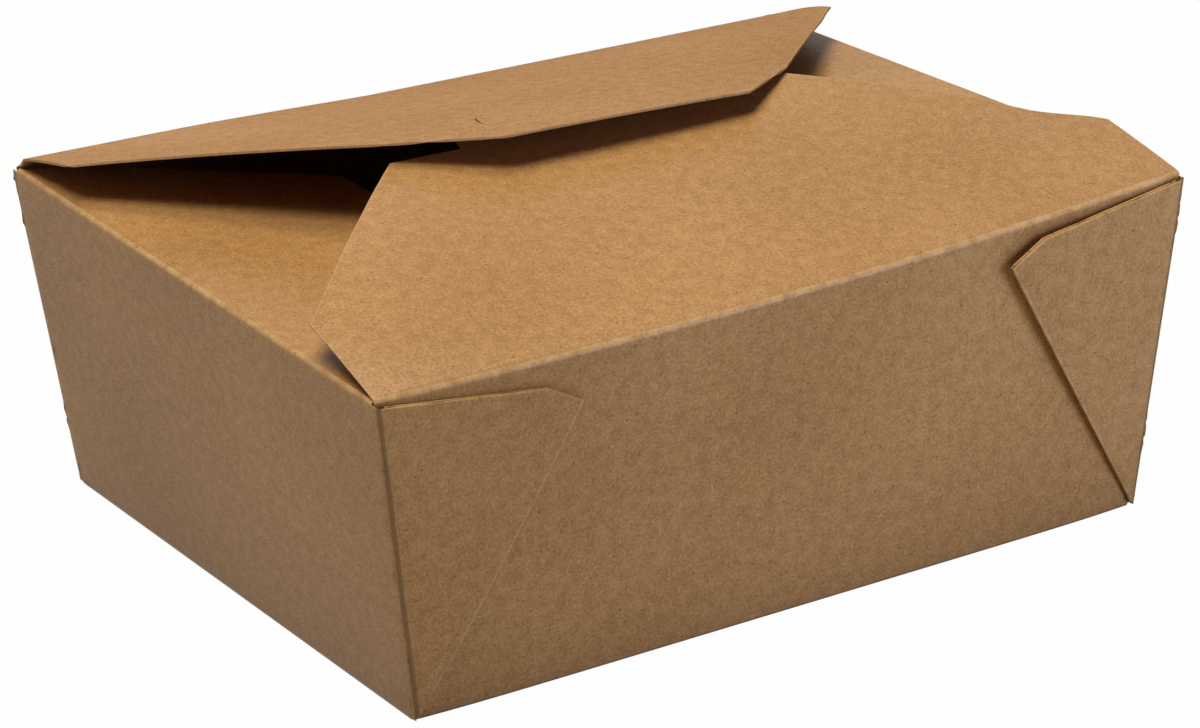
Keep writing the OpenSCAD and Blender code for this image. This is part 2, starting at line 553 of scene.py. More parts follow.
@dataclass(frozen=True)
class Stance:
    """How the box stands in use: its corners a little out of true and its front edge bowed."""

    sizes: BoxSizes
    # Shift of each top and base corner, by side and face
    top_shift: dict[tuple[int, int], tuple[float, float, float]] = field(
        default_factory=lambda: {
            (-1, 1): (0.0, 0.7, 0.9),
            (-1, -1): (-0.2, -0.4, -2.5),
            (1, -1): (-0.4, 0.6, 1.95),
            (1, 1): (0.45, 0.05, -0.55),
        }
    )
    base_shift: dict[tuple[int, int], tuple[float, float, float]] = field(
        default_factory=lambda: {
            (-1, 1): (-0.95, 0.1, 0),
            (-1, -1): (-1.05, -1.0, 0),
            (1, -1): (0.05, -0.9, 0),
            (1, 1): (0.3, 0.2, 0),
        }
    )
    # Bow of the front wall at the top: how far out, what it lowers, how deep it reaches
    # into the box, how far in from the crease it stays full, and how it grows with height
    front_bow: float = 3.35
    bow_drop: float = 0.15
    bow_depth: float = 40
    bow_full: float = 5
    bow_power: float = 1.2
    # The flatter bow at the wall's foot
    foot_bow: float = 1.7
    foot_power: int = 8

    def apply(self, points: np.ndarray) -> np.ndarray:
        """Moves points of the true box to where they are on the box in use.

        Args:
            points: rows of x, y and z, in millimetres.

        Returns:
            The moved rows.
        """
        s = self.sizes
        u = np.clip(points[:, 0] / (s.top_length / 2), -1, 1)
        v = np.clip(points[:, 1] / (s.top_width / 2), -1, 1)
        h = np.clip(points[:, 2] / s.height, 0, 1)
        moved = points.copy()
        for shifts, level in ((self.top_shift, h), (self.base_shift, 1 - h)):
            for (side, face), shift in shifts.items():
                share = (1 + side * u) * (1 + face * v) / 4 * level
                moved += share[:, None] * np.array(shift)
        inward = -points[:, 1] - s.long_head + self.bow_depth + self.bow_full
        near_front = smooth_step(inward / self.bow_depth)
        bow = self.front_bow * (1 - u * u) * h**self.bow_power * near_front
        moved[:, 1] -= bow + self.foot_bow * (1 - u**self.foot_power) * (1 - h) * near_front
        moved[:, 2] -= self.bow_drop * bow
        return moved


@dataclass(frozen=True)
class Spring:
    """How a long flap stands up from its crease: its lift and its arch, from end to end.

    Each is given as the value at the middle, the change to the right end, and the extra
    at both ends.
    """

    lift: tuple[float, float, float]
    arch: tuple[float, float, float]
    depth: float

    def profile(self, along: np.ndarray, depth: np.ndarray) -> tuple[np.ndarray, np.ndarray]:
        """Where points of the flap are, seen from the end.

        Args:
            along: place along the crease, from -1 at the left end to 1 at the right.
            depth: distance from the crease on the flat sheet.

        Returns:
            Distance in from the crease, and height over it.
        """
        lift = np.radians(self.lift[0] + self.lift[1] * along + self.lift[2] * along**2)
        arch = self.arch[0] + self.arch[1] * along + self.arch[2] * along**2
        share = depth / self.depth
        rise = arch * 4 * share * (1 - share)
        inward = depth * np.cos(lift) - rise * np.sin(lift)
        return inward, depth * np.sin(lift) + rise * np.cos(lift)


@dataclass
class CartonBody:
    """Base, walls, webs, side flaps and front flap: all of the sheet but the back flap."""

    sizes: BoxSizes
    stance: Stance
    pitch: float = 3.0
    # Waste round the panels
    margin: float = 2
    # Cut at each base corner that lets the four folds meet
    relief: float = 0.45
    # Corner webs: the diagonal as a share of the wall, the top edge, what is trimmed off
    fold_share: float = 0.985
    web_edge: float = 34
    web_slope: float = 9
    web_drop: float = 0.5
    web_trim: float = 1.6
    web_notch: float = 0.9
    web_radius: float = 0.3
    # Place of the dark band beside each web's corner score: partly a pressed score, partly painted shade of
    # the bend
    web_groove: float = 0.3
    # Degrees by which the front right web stands off the wall
    loose_web: float = 3.0
    # Pull of each front web's tip along x and up, by side, and the most of it in any place
    web_pull: tuple[tuple[int, float, float], ...] = ((-1, -2.0, 1.5), (1, -1.9, 4.1))
    most_pull: float = 1.2
    # Walls: room at their ends, drop of the shoulders at the top, and the back wall's trim
    wall_room: float = 0.03
    front_drop: float = 0.7
    side_trim: float = 0.3
    back_trim: float = 0.12
    # Front flap and its tongue
    front_reach: float = 0.3
    front_lift: float = 10
    front_shoulder: float = 21.2
    front_edge: float = 42.7
    front_depth: float = 67.2
    tongue_half: float = 27.1
    tongue_reach: float = 11
    tongue_round: float = 11
    # Side flaps: the taper near the crease and the chamfer at the free edge
    side_dip: float = 1.5
    side_half: float = 65
    side_depth: float = 50
    side_edge: float = 35
    side_taper: Point = (10, 3.5)
    side_chamfer: float = 4
    front_spring: Spring = Spring((8.99, 0.19, 2.53), (1.76, -0.85, -0.12), 68)
    # Rise of the right wall, and the place in y and the stretch over which it sets in
    right_rise: float = 0.8
    rise_from: Point = (-60, 50)
    back_web_drop: float = 0.9
    # Dent in the front flap's right mitre: its place, its radius and its depth
    mitre_dent: tuple[float, float, float, float] = (75, 31, 6, 0.95)

    def __post_init__(self) -> None:
        """Works out the scores and the sheet's main places."""
        s = self.sizes
        long_fold, short_fold = 90 - s.long_lean, 90 - s.short_lean
        front_fold = 90 - self.front_lift + s.long_lean
        side_fold = 90 + self.side_dip + s.short_lean
        long_back, self.short_back = (setback(fold, s.foot_radius) for fold in (long_fold, short_fold))
        self.front_back, self.side_back = (setback(fold, s.head_radius) for fold in (front_fold, side_fold))
        self.base_x = s.short_foot - self.short_back
        self.base_y = s.long_foot - long_back
        self.side_crease = self.base_x + s.short_slant - self.short_back - self.side_back
        self.front_crease = self.base_y + s.long_slant - long_back - self.front_back
        self.back_top = self.base_y + s.long_slant - long_back - self.back_trim
        x, y, r = self.base_x, self.base_y, self.relief
        # The base creases get the dark groove band at their middle: painted shade along the foot of the
        # walls
        self.side_foot = Score((-x, r - y), (-x, y - r), short_fold, s.foot_radius, groove=0.0)
        self.front_foot = Score((x - r, -y), (r - x, -y), long_fold, s.foot_radius, groove=0.0)
        side, front = -self.side_crease, -self.front_crease
        self.side_head = Score((side, -self.side_half), (side, self.side_half), side_fold, s.head_radius)
        self.front_head = Score((self.front_end, front), (-self.front_end, front), front_fold, s.head_radius)
        self.plan_web()

    @property
    def front_end(self) -> float:
        """Half length of the front flap at its crease, which comes close to the corners."""
        return self.sizes.flap_half + self.front_reach

    def wall_half(self, x: float) -> float:
        """Half width of a short wall at a distance from the sheet's centre."""
        s = self.sizes
        return s.web_foot + (s.web_head - s.web_foot) * (x - self.base_x + self.short_back) / s.short_slant

    def plan_web(self) -> None:
        """Works out the front left web: two layers, its corner score and its diagonal fold."""
        s = self.sizes
        leans = math.radians(s.long_lean), math.radians(s.short_lean)
        corner_fold = math.degrees(math.acos(math.sin(leans[0]) * math.sin(leans[1])))
        long_corner = math.pi / 2 + math.atan2(s.long_end - s.short_foot, s.long_slant)
        short_corner = math.pi / 2 + math.atan2(s.web_head - s.web_foot, s.short_slant)
        bisector = (1.5 * math.pi - long_corner - short_corner) / 2
        slope = -math.radians(self.web_slope) - long_corner
        top = (s.long_slant - self.web_drop, 0.0)
        shoulder = (top[0] + self.web_edge * math.cos(slope), -self.web_edge * math.sin(slope))

        def ray(length: float) -> Point:
            """A point on the diagonal."""
            return length * math.cos(bisector), length * math.sin(bisector)

        tip, crook = ray(self.fold_share * s.long_slant), ray(self.web_notch)
        trimmed = (top[0] + (shoulder[0] - top[0]) * self.web_trim / shoulder[1], self.web_trim)
        outer = [(self.web_notch, 0.0), top, shoulder, tip, crook]
        inner = [
            (a * math.cos(2 * bisector) + b * math.sin(2 * bisector),
             a * math.sin(2 * bisector) - b * math.cos(2 * bisector))
            for a, b in (crook, tip, shoulder, trimmed, (self.web_notch + 2, self.web_trim))
        ]
        corner = np.array((-self.base_x, -self.wall_half(self.base_x)))
        head = np.array((-self.side_crease, -self.wall_half(self.side_crease)))
        up = (head - corner) / np.linalg.norm(head - corner)
        out = np.array((-up[1], up[0]))

        def place(point: Point) -> Point:
            """A point of the web, moved from its corner to the flat sheet."""
            return tuple(corner + (point[0] - self.short_back) * up + point[1] * out)

        self.web_outer, self.web_inner = [place(p) for p in outer], [place(p) for p in inner]
        ends = place((0, 0)), place(top)
        self.web_corner = Score(*ends, corner_fold, s.corner_radius, groove=self.web_groove)
        self.web_fold = Score(place(crook), place(tip), 180, self.web_radius, lines=6)

    def outlines(self) -> dict[Panel, list[Point]]:
        """The outline of each panel on the flat sheet."""
        s = self.sizes
        x, y, r = self.base_x, self.base_y, self.relief

        def wall_end(depth: float) -> float:
            """Half length of a long wall, just inside the short walls."""
            foot_end = s.short_foot - s.half - self.wall_room
            return foot_end + (s.long_end - s.short_foot) * depth / s.long_slant

        panels = {Panel.BASE: across(across([(-x, r - y), (r - x, r - y), (r - x, -y)], 1, -1), -1, 1)}
        foot = [(r - x, -y), (r - x, -y - r), (-wall_end(r), -y - r)]
        shoulder = self.front_crease - self.front_drop
        front = [
            *foot, (-wall_end(shoulder - y), -shoulder),
            (-self.front_end, -shoulder), (-self.front_end, -self.front_crease),
        ]
        back = [*foot, (-wall_end(self.back_top - y), -self.back_top)]
        panels[Panel.FRONT_WALL] = across(front, 1, -1)
        panels[Panel.BACK_WALL] = mirrored(across(back, 1, -1), -1, 1)

        depth = self.front_crease - self.front_back
        tongue = depth + self.front_depth + self.tongue_reach
        bend = self.tongue_round
        arc = [
            (bend * (1 - math.cos(a)) - self.tongue_half, bend * (1 - math.sin(a)) - tongue)
            for a in np.radians(np.arange(0, 91, 15))
        ]
        flap = [
            (-self.front_end, -self.front_crease), (-self.front_end, -depth - self.front_shoulder),
            (-self.front_edge, -depth - self.front_depth), (-self.tongue_half, -depth - self.front_depth),
            *arc,
        ]
        panels[Panel.FRONT_FLAP] = across(flap, 1, -1)

        top = self.side_crease - self.side_trim
        wall = [
            (-x, r - y), (-x - r, r - y), (-x - r, -self.wall_half(x + r)),
            (-top, -self.wall_half(top)), (-top, -self.side_half), (-self.side_crease, -self.side_half),
        ]
        far, chamfer = self.side_crease - self.side_back, self.side_chamfer
        side = [
            (-self.side_crease, -self.side_half),
            (-far - self.side_taper[0], self.side_taper[1] - self.side_half),
            (-far - self.side_depth + chamfer, -self.side_edge),
            (-far - self.side_depth, chamfer - self.side_edge),
        ]
        for hand, name in ((-1, "LEFT"), (1, "RIGHT")):
            panels[Panel[f"{name}_WALL"]] = mirrored(across(wall, -1, 1), hand, -1)
            panels[Panel[f"{name}_FLAP"]] = mirrored(across(side, -1, 1), hand, -1)
            for face in (-1, 1):
                for web, outline in zip(web_pair(hand, face), (self.web_outer, self.web_inner)):
                    panels[web] = mirrored(outline, hand, face)
        return panels

    def build(self) -> FlatSheet:
        """Cuts, scores and folds the sheet, and sets it in its stance.

        Returns:
            The folded sheet, in millimetres, without its finish.
        """
        reach_x = self.side_crease + self.side_depth + self.margin
        reach_y = self.front_crease + self.front_depth + self.tongue_reach + self.margin
        corner = (reach_x, self.back_top + self.margin)
        sheet = FlatSheet("carton_body_board", (-reach_x, -reach_y), corner, self.pitch)
        sheet.cut_out(self.outlines())
        folds = self.fold_list()
        for score, still, moves in folds:
            sheet.score(score, (still, moves[0]))
        sheet.label()
        sheet.note_distances(sheet.cut_edges())
        for score, still, moves in folds:
            sheet.fold(score, still, moves)
        points = sheet.points()
        points[:, 2] += self.sizes.half
        points += self.sprung(sheet)
        sheet.set_points(self.stance.apply(points))
        sheet.thicken(self.sizes.card)
        return sheet

    def fold_list(self) -> list[tuple[Score, Panel, tuple[Panel, ...]]]:
        """Every fold, from the outermost to the base: its score, what stays and what turns."""
        diagonals, corners, heads, feet = [], [], [], []
        for hand, name in ((-1, "LEFT"), (1, "RIGHT")):
            wall, flap = Panel[f"{name}_WALL"], Panel[f"{name}_FLAP"]
            webs: list[Panel] = []
            for face in (-1, 1):
                outer, inner = web_pair(hand, face)
                loose = self.loose_web if (hand, face) == (1, -1) else 0
                diagonals.append((self.web_fold.mirrored(hand, face), outer, (inner,)))
                corner = self.web_corner.mirrored(hand, face, self.web_corner.angle - loose)
                corners.append((corner, wall, (outer, inner)))
                webs += (outer, inner)
            heads.append((self.side_head.mirrored(hand, -1), wall, (flap,)))
            feet.append((self.side_foot.mirrored(hand, -1), Panel.BASE, (wall, flap, *webs)))
        heads.append((self.front_head, Panel.FRONT_WALL, (Panel.FRONT_FLAP,)))
        feet.append((self.front_foot, Panel.BASE, (Panel.FRONT_WALL, Panel.FRONT_FLAP)))
        feet.append((self.front_foot.mirrored(-1, 1), Panel.BASE, (Panel.BACK_WALL,)))
        return [*diagonals, *corners, *heads, *feet]

    def sprung(self, sheet: FlatSheet) -> np.ndarray:
        """How far each vertex springs from its place on the true box."""
        s = self.sizes
        moved = np.zeros((len(sheet.flat), 3))
        depth = self.front_head.past(sheet.flat) + self.front_back
        flap = sheet.in_panels((Panel.FRONT_FLAP,)) & (depth > self.front_back)
        along = sheet.flat[flap, 0] / s.flap_half
        plain = Spring((self.front_lift, 0, 0), (0, 0, 0), 1).profile(along, depth[flap])
        sprung = self.front_spring.profile(along, depth[flap])
        moved[flap, 1] = sprung[0] - plain[0]
        moved[flap, 2] = sprung[1] - plain[1]
        x, y, radius, dip = self.mitre_dent
        away = np.hypot(sheet.flat[flap, 0] - x, depth[flap] - y) / radius
        moved[flap, 2] -= dip * np.exp(-0.5 * away**2)
        folded = sheet.points()
        for hand, sideways, upwards in self.web_pull:
            web = sheet.in_panels(web_pair(hand, -1))
            level = folded[web, 2]
            corner_x = s.short_foot + (s.long_end - s.short_foot) * level / s.rise
            inward = (corner_x - hand * folded[web, 0]) / self.web_edge
            share = np.clip(inward, 0, self.most_pull) * level / s.rise
            moved[web, 0] += sideways * share
            moved[web, 2] += upwards * share
        back = sheet.in_panels((*web_pair(-1, 1), *web_pair(1, 1)))
        moved[back, 2] -= self.back_web_drop * folded[back, 2] / s.rise
        right = sheet.in_panels((Panel.RIGHT_WALL, Panel.RIGHT_FLAP, *web_pair(1, 1)))
        backwards = smooth_step((folded[right, 1] - self.rise_from[0]) / self.rise_from[1])
        moved[right, 2] += self.right_rise * backwards * folded[right, 2] / s.height
        return moved


@dataclass
class BackFlap:
    """The back flap, which closes over the front flap's tongue and swings up on its crease."""

    sizes: BoxSizes
    stance: Stance
    pitch: float = 2.5
    # Waste round the flap, and the angle that gives the crease its width
    margin: float = 2
    crease_angle: float = 80
    shoulder: float = 23.4
    step_half: float = 43.8
    step_depth: float = 66.7
    edge_half: float = 26.4
    depth: float = 79.7
    lip_half: float = 23
    lip_reach: float = 17
    lip_root: float = 67.5
    # Lift of the lip, how it falls from left to right, and how soon it sets in
    lip_lift: float = 0.42
    lip_tilt: Point = (1.15, 0.85)
    lip_ease: float = 2.5
    slit: float = 0.08
    # Swell of the root's left end: its height, where it starts, grows and ends on the
    # flap's depth, and where it fades along x
    root_rise: float = 1.45
    root_start: float = 1.6
    root_reach: Point = (1.8, 22)
    root_fade: Point = (5, 60)
    # Rise of the right tip: its height, where it grows along x, and its depths
    tip_rise: float = 0.9
    tip_start: Point = (74, 9)
    tip_depths: tuple[float, float, float] = (20, 23, 25)
    spring: Spring = Spring((11.35, -2.69, -1.37), (1.5, 0.9, 1.5), 81)

    def outline(self) -> list[Point]:
        """The flap on the flat sheet, with its crease along y = 0 and its free edge below."""
        s = self.sizes
        left = [
            (-s.flap_half, s.half), (-s.flap_half, -self.shoulder),
            (-self.step_half, -self.step_depth), (-self.edge_half, -self.depth),
        ]
        return across(left, 1, -1)

    def build(self) -> FlatSheet:
        """Cuts the flap, its slit and its round root, and springs it up from its crease.

        Returns:
            The flap in its place, in millimetres, without its finish.
        """
        s = self.sizes
        wide = s.flap_half + self.margin
        low, high = (-wide, -self.depth - self.margin), (wide, self.margin)
        sheet = FlatSheet("back_flap_board", low, high, self.pitch)
        sheet.cut_out({Panel.BACK_FLAP: self.outline()})
        crease = Score((-s.flap_half, 0), (s.flap_half, 0), self.crease_angle, s.head_radius)
        sheet.score(crease, (Panel.BACK_FLAP,))
        sheet.label()
        sheet.note_distances(sheet.cut_edges())
        sheet.thicken(s.card)
        self.cut_slit(sheet)
        self.round_root(sheet)
        sheet.set_points(self.set_in_place(sheet.points()))
        return sheet

    def cut_slit(self, sheet: FlatSheet) -> None:
        """Cuts the half-moon slit with a ring-shaped knife."""
        bpy.ops.object.select_all(action="DESELECT")
        bpy.ops.mesh.primitive_circle_add(vertices=72, radius=1, fill_type="NOTHING")
        knife = bpy.context.object
        centre, tall = (0, -self.lip_root, 0), 4
        grown = (1 + self.slit / self.lip_half, 1 + self.slit / self.lip_reach, 1)
        with Editing(knife):
            select_all()
            bpy.ops.transform.resize(value=(self.lip_half, self.lip_reach, 1))
            bpy.ops.transform.translate(value=centre)
            bpy.ops.mesh.bisect(plane_co=centre, plane_no=(0, 1, 0), clear_inner=True)
            select_all()
            bpy.ops.mesh.extrude_edges_move()
            bpy.ops.transform.resize(value=grown, center_override=centre)
            select_all()
            bpy.ops.transform.translate(value=(0, 0, -tall / 2))
            bpy.ops.mesh.extrude_region_move(TRANSFORM_OT_translate={"value": (0, 0, tall)})
            select_all()
            bpy.ops.mesh.normals_make_consistent(inside=False)
        sheet.activate()
        cut = sheet.obj.modifiers.new("slit", "BOOLEAN")
        cut.operation = "DIFFERENCE"
        cut.solver = "EXACT"
        cut.object = knife
        bpy.ops.object.modifier_apply(modifier=cut.name)
        bpy.data.objects.remove(knife, do_unlink=True)

    def round_root(self, sheet: FlatSheet) -> None:
        """Rounds the root of the flap, so that it turns in its crease at every angle."""
        first, last = sheet.points()[read(sheet.obj.data.edges, "vertices", 2, int).T]
        root = np.minimum(first[:, 1], last[:, 1]) > self.sizes.half - 10 * TINY
        sheet.select_edges(root & (np.abs(first[:, 2] - last[:, 2]) < TINY))
        with sheet.editing():
            bpy.ops.mesh.bevel(offset=0.9 * self.sizes.half, segments=4, affect="EDGES")

    def set_in_place(self, points: np.ndarray) -> np.ndarray:
        """Bends the flat flap to its sprung shape over the box.

        Args:
            points: vertices of the flat flap, with the board's thickness along z.

        Returns:
            The same vertices in the frame of the box.
        """
        s = self.sizes
        x, depth, height = points[:, 0], -points[:, 1], points[:, 2]
        step = 0.05
        here, there = self.surface(x, depth - step), self.surface(x, depth + step)
        beside = self.surface(x + step, depth) - self.surface(x - step, depth)
        normal = np.cross(beside, here - there)
        normal /= np.linalg.norm(normal, axis=1)[:, None]
        lip_y = (self.lip_root - depth) / self.lip_reach
        on_lip = (lip_y > 0) & ((x / self.lip_half) ** 2 + lip_y**2 < 1.002)
        left_share = 0.5 * (self.lip_tilt[0] - self.lip_tilt[1] * x / self.lip_half)
        lift = self.lip_lift * left_share * smooth_step(self.lip_ease * lip_y)
        height = height + np.where(on_lip, lift, 0)
        return self.stance.apply(self.surface(x, depth) + height[:, None] * normal)

    def surface(self, x: np.ndarray, depth: np.ndarray) -> np.ndarray:
        """Place of the board's middle, for a point of the flat flap."""
        s = self.sizes
        along = x / s.flap_half
        inward, up = self.spring.profile(along, depth)
        swell = smooth_step((depth - self.root_start) / self.root_reach[0])
        swell = swell * np.clip(1 - depth / self.root_reach[1], 0, 1)
        up = up + self.root_rise * smooth_step((self.root_fade[0] - x) / self.root_fade[1]) * swell
        grown, held, gone = self.tip_depths
        near_tip = smooth_step((x - self.tip_start[0]) / self.tip_start[1])
        near_tip = near_tip * smooth_step(depth / grown) * smooth_step(1 - (depth - held) / gone)
        up = up + self.tip_rise * near_tip
        return np.stack((x, s.long_head - inward, s.height + up), axis=1)


def linear(hex_colour: str) -> tuple[float, float, float, float]:
    """Turns an sRGB hex colour into Blender's linear one."""
    parts = [int(hex_colour[i : i + 2], 16) / 255 for i in (1, 3, 5)]
    return (*[c / 12.92 if c <= 0.04045 else ((c + 0.055) / 1.055) ** 2.4 for c in parts], 1.0)


def add_node(
    tree: Tree, kind: str, sockets: dict[str | int, Any] | None = None, **settings: Any
) -> bpy.types.Node:
    """Adds a node with its settings and links.

    Args:
        tree: the node tree it goes into.
        kind: the node's type.
        sockets: for each input, by name or number, its value or the output that feeds it.
        **settings: properties of the node.

    Returns:
        The new node.
    """
    made = tree.nodes.new(kind)
    for name, value in settings.items():
        setattr(made, name, value)
    for key, value in (sockets or {}).items():
        if isinstance(value, Socket):
            tree.links.new(value, made.inputs[key])
        else:
            made.inputs[key].default_value = value
    return made


def add_math(tree: Tree, operation: str, *values: Any, kind: str = "ShaderNodeMath") -> Socket:
    """Adds a math node over values and outputs."""
    return add_node(tree, kind, dict(enumerate(values)), operation=operation).outputs[0]


def add_noise(
    tree: Tree, place: Socket, size_mm: float, detail: float, rough: float = 0.5
) -> Socket:
    """Adds a flat noise with grains of a size in millimetres."""
    sockets = {"Vector": place, "Scale": 1 / (size_mm * MM), "Detail": detail, "Roughness": rough}
    return add_node(tree, "ShaderNodeTexNoise", sockets, noise_dimensions="2D").outputs["Fac"]


def add_range(
    tree: Tree, value: Socket, start: float, end: float, low: float, high: float,
    **settings: Any,
) -> Socket:
    """Adds a node that turns values from start to end into values from low to high."""
    sockets = {"Value": value, "From Min": start, "From Max": end, "To Min": low, "To Max": high}
    return add_node(tree, "ShaderNodeMapRange", sockets, **settings).outputs[0]


def add_tint(
    tree: Tree, share: Socket, colour: Socket, tint: str
) -> Socket:
    """Tints a colour with an sRGB hex colour, by a share."""
    sockets = {"Factor": share, 6: colour, 7: linear(tint)}
    return add_node(tree, "ShaderNodeMix", sockets, data_type="RGBA").outputs[2]


def add_bump(
    tree: Tree, height: Socket, depth_mm: float, strength: float, base: Any = None, pressed: bool = False
) -> Socket:
    """Adds relief of a depth in millimetres, raised or pressed in, over the relief of a base."""
    sockets = {"Height": height, "Distance": depth_mm * MM, "Strength": strength}
    if base is not None:
        sockets["Normal"] = base
    return add_node(tree, "ShaderNodeBump", sockets, invert=pressed).outputs[0]


def add_blend(tree: Tree, share: Any, plain: Socket, over: Socket) -> Socket:
    """Adds a blend of two shaders, by the share of the second."""
    return add_node(tree, "ShaderNodeMixShader", {0: share, 1: plain, 2: over}).outputs[0]


def add_ramp(
    tree: Tree, value: Socket, stops: Sequence[tuple[float, str]]
) -> Socket:
    """Adds a colour ramp with its stops, each a place and an sRGB hex colour."""
    ramp = add_node(tree, "ShaderNodeValToRGB", {"Fac": value})
    elements = ramp.color_ramp.elements
    while len(elements) < len(stops):
        elements.new(0.5)
    for element, (place, colour) in zip(elements, stops):
        element.position, element.color = place, linear(colour)
    return ramp.outputs["Color"]


def new_material(name: str) -> tuple[bpy.types.Material, Tree]:
    """Makes a material with an empty node tree."""
    material = bpy.data.materials.new(name)
    material.use_nodes = True
    material.node_tree.nodes.clear()
    return material, material.node_tree


@dataclass(frozen=True)
class KraftBoard:
    """Unbleached kraft board: matt, mottled by short brown fibres, paler where it is creased.

    The board is calendered but not coated, so it has almost no shine. Its fibres lie
    mostly along the sheet, and dark bark specks are rare. The pale band at creases and
    cut edges is partly wear from rubbing and partly a painted highlight where the fold and
    the cut edge catch the light. Where a score is pressed hard the fibres are crushed, and
    its dark band is partly that and partly painted shade of the bend.
    """

    name: str = "kraft_board_outer_face"
    # The board's own colour, from its darkest fibres to its palest
    shade: str = "#a87b4b"
    body: str = "#bd905e"
    light: str = "#cda374"
    # Pale creases and cut edges (wear from rubbing and painted highlight), bark specks, and dark grooves
    # (pressed mark and painted shade)
    wear_and_highlight: str = "#e3bd8e"
    bark: str = "#6e4c2b"
    groove: str = "#7c5a3a"
    roughness: float = 0.86
    roughness_spread: float = 0.06
    shine: float = 0.01
    # Size of each layer of the fibre pattern, and its share in the colour
    fibre_mm: tuple[float, float] = (1.2, 0.35)
    sway_mm: float = 3.0
    speckle_mm: float = 0.55
    mottle_mm: float = 2.5
    cloud_mm: float = 42
    speckle_share: float = 0.48
    mottle_share: float = 0.22
    fibre_share: float = 0.16
    cloud_share: float = 0.14
    tone_stops: tuple[float, float, float] = (0.36, 0.5, 0.64)
    # Pale band of a crease, partly wear from rubbing and partly painted highlight of the rounded fold: its
    # half width, and its share where the mottle is low and high
    crease_mm: float = 0.75
    patch_stops: tuple[float, float] = (0.3, 0.7)
    crease_share: tuple[float, float] = (0.2, 0.5)
    edge_mm: float = 0.45
    edge_share: float = 0.15
    groove_mm: float = 0.6
    groove_share: float = 0.8
    groove_depth_mm: float = 0.12
    grain_depth_mm: float = 0.05
    # Bark specks: their spacing, and the share of it that they reach
    bark_mm: float = 9
    bark_reach: tuple[float, float] = (0.016, 0.03)
    bark_share: float = 0.75
    # A thin greaseproof film, on the lining alone
    film: float = 0.0

    def build(self) -> bpy.types.Material:
        """Makes the material's nodes.

        Returns:
            The material, which reads the piece's own sheet map and its distances.
        """
        material, tree = new_material(self.name)
        sheet = add_node(tree, "ShaderNodeUVMap", uv_map="sheet").outputs["UV"]
        speckle = add_noise(tree, sheet, self.speckle_mm, 3.0, 0.62)
        mottle = add_noise(tree, sheet, self.mottle_mm, 2.0)
        cloud = add_noise(tree, sheet, self.cloud_mm, 1.0)
        fibre = self.add_fibres(tree, sheet, mottle)
        groove = self.add_band(tree, "to_groove", self.groove_mm)

        blend = add_math(tree, "MULTIPLY", speckle, self.speckle_share)
        layers = (mottle, self.mottle_share), (fibre, self.fibre_share), (cloud, self.cloud_share)
        for layer, share in layers:
            blend = add_math(tree, "MULTIPLY_ADD", layer, share, blend)
        colour = add_ramp(tree, blend, tuple(zip(self.tone_stops, (self.shade, self.body, self.light))))
        patchy = add_range(tree, mottle, *self.patch_stops, *self.crease_share)
        # Pale bands at creases and cut edges: partly wear from rubbing, partly a painted highlight of the
        # rounded folds and of the lit cut edges
        crease_wear_and_highlight = add_math(tree, "MULTIPLY", self.add_band(tree, "to_crease", self.crease_mm), patchy)
        edge = add_math(tree, "MULTIPLY", self.add_band(tree, "to_edge", self.edge_mm), self.edge_share)
        # Dark band at grooves: partly crushed fibres, partly painted shade of the bend at the web corners
        # and along the base edges
        pressed = add_math(tree, "MULTIPLY", groove, self.groove_share)
        bark = add_node(
            tree, "ShaderNodeTexVoronoi", {"Vector": sheet, "Scale": 1 / (self.bark_mm * MM)},
            voronoi_dimensions="2D",
        ).outputs["Distance"]
        speck = add_range(tree, bark, *self.bark_reach, self.bark_share, 0.0)
        tints = (crease_wear_and_highlight, self.wear_and_highlight), (edge, self.wear_and_highlight), (pressed, self.groove), (speck, self.bark)
        for share, tint in tints:
            colour = add_tint(tree, share, colour, tint)

        grain = add_math(tree, "MULTIPLY_ADD", fibre, 0.5, speckle)
        dent = add_bump(tree, groove, self.groove_depth_mm, strength=0.8, pressed=True)
        bump = add_bump(tree, grain, self.grain_depth_mm, strength=0.5, base=dent)
        spread = self.roughness_spread
        rough = add_range(tree, mottle, 0.0, 1.0, self.roughness - spread, self.roughness + spread)
        shader = add_node(
            tree, "ShaderNodeBsdfPrincipled",
            {"Base Color": colour, "Roughness": rough, "Normal": bump, "Specular IOR Level": self.shine,
             "Coat Weight": self.film, "Coat Roughness": 0.28},
        )
        add_node(tree, "ShaderNodeOutputMaterial", {"Surface": shader.outputs[0]})
        return material

    def add_fibres(
        self, tree: Tree, sheet: Socket, mottle: Socket
    ) -> Socket:
        """Short fibres that wander about the sheet's length.

        Args:
            tree: the material's tree.
            sheet: place on the sheet.
            mottle: a slow noise that turns the fibres.

        Returns:
            The fibres' strength, about 0.5 on average.
        """
        vector = "ShaderNodeVectorMath"
        sway = add_math(tree, "MULTIPLY", mottle, (0.0, self.sway_mm * MM, 0.0), kind=vector)
        swayed = add_math(tree, "ADD", sheet, sway, kind=vector)
        length, width = self.fibre_mm
        density = (1 / (length * MM), 1 / (width * MM), 1.0)
        stretched = add_math(tree, "MULTIPLY", swayed, density, kind=vector)
        return add_noise(tree, stretched, 1 / MM, 2.0)

    def add_band(self, tree: Tree, distance: str, width: float) -> Socket:
        """A soft band along creases or edges.

        Args:
            tree: the material's tree.
            distance: name of the attribute with the distance in millimetres.
            width: half width of the band in millimetres.

        Returns:
            1 in the middle of the band and 0 outside.
        """
        away = add_node(tree, "ShaderNodeAttribute", attribute_name=distance).outputs["Fac"]
        return add_range(tree, away, 0.25 * width, width, 1.0, 0.0, interpolation_type="SMOOTHSTEP")


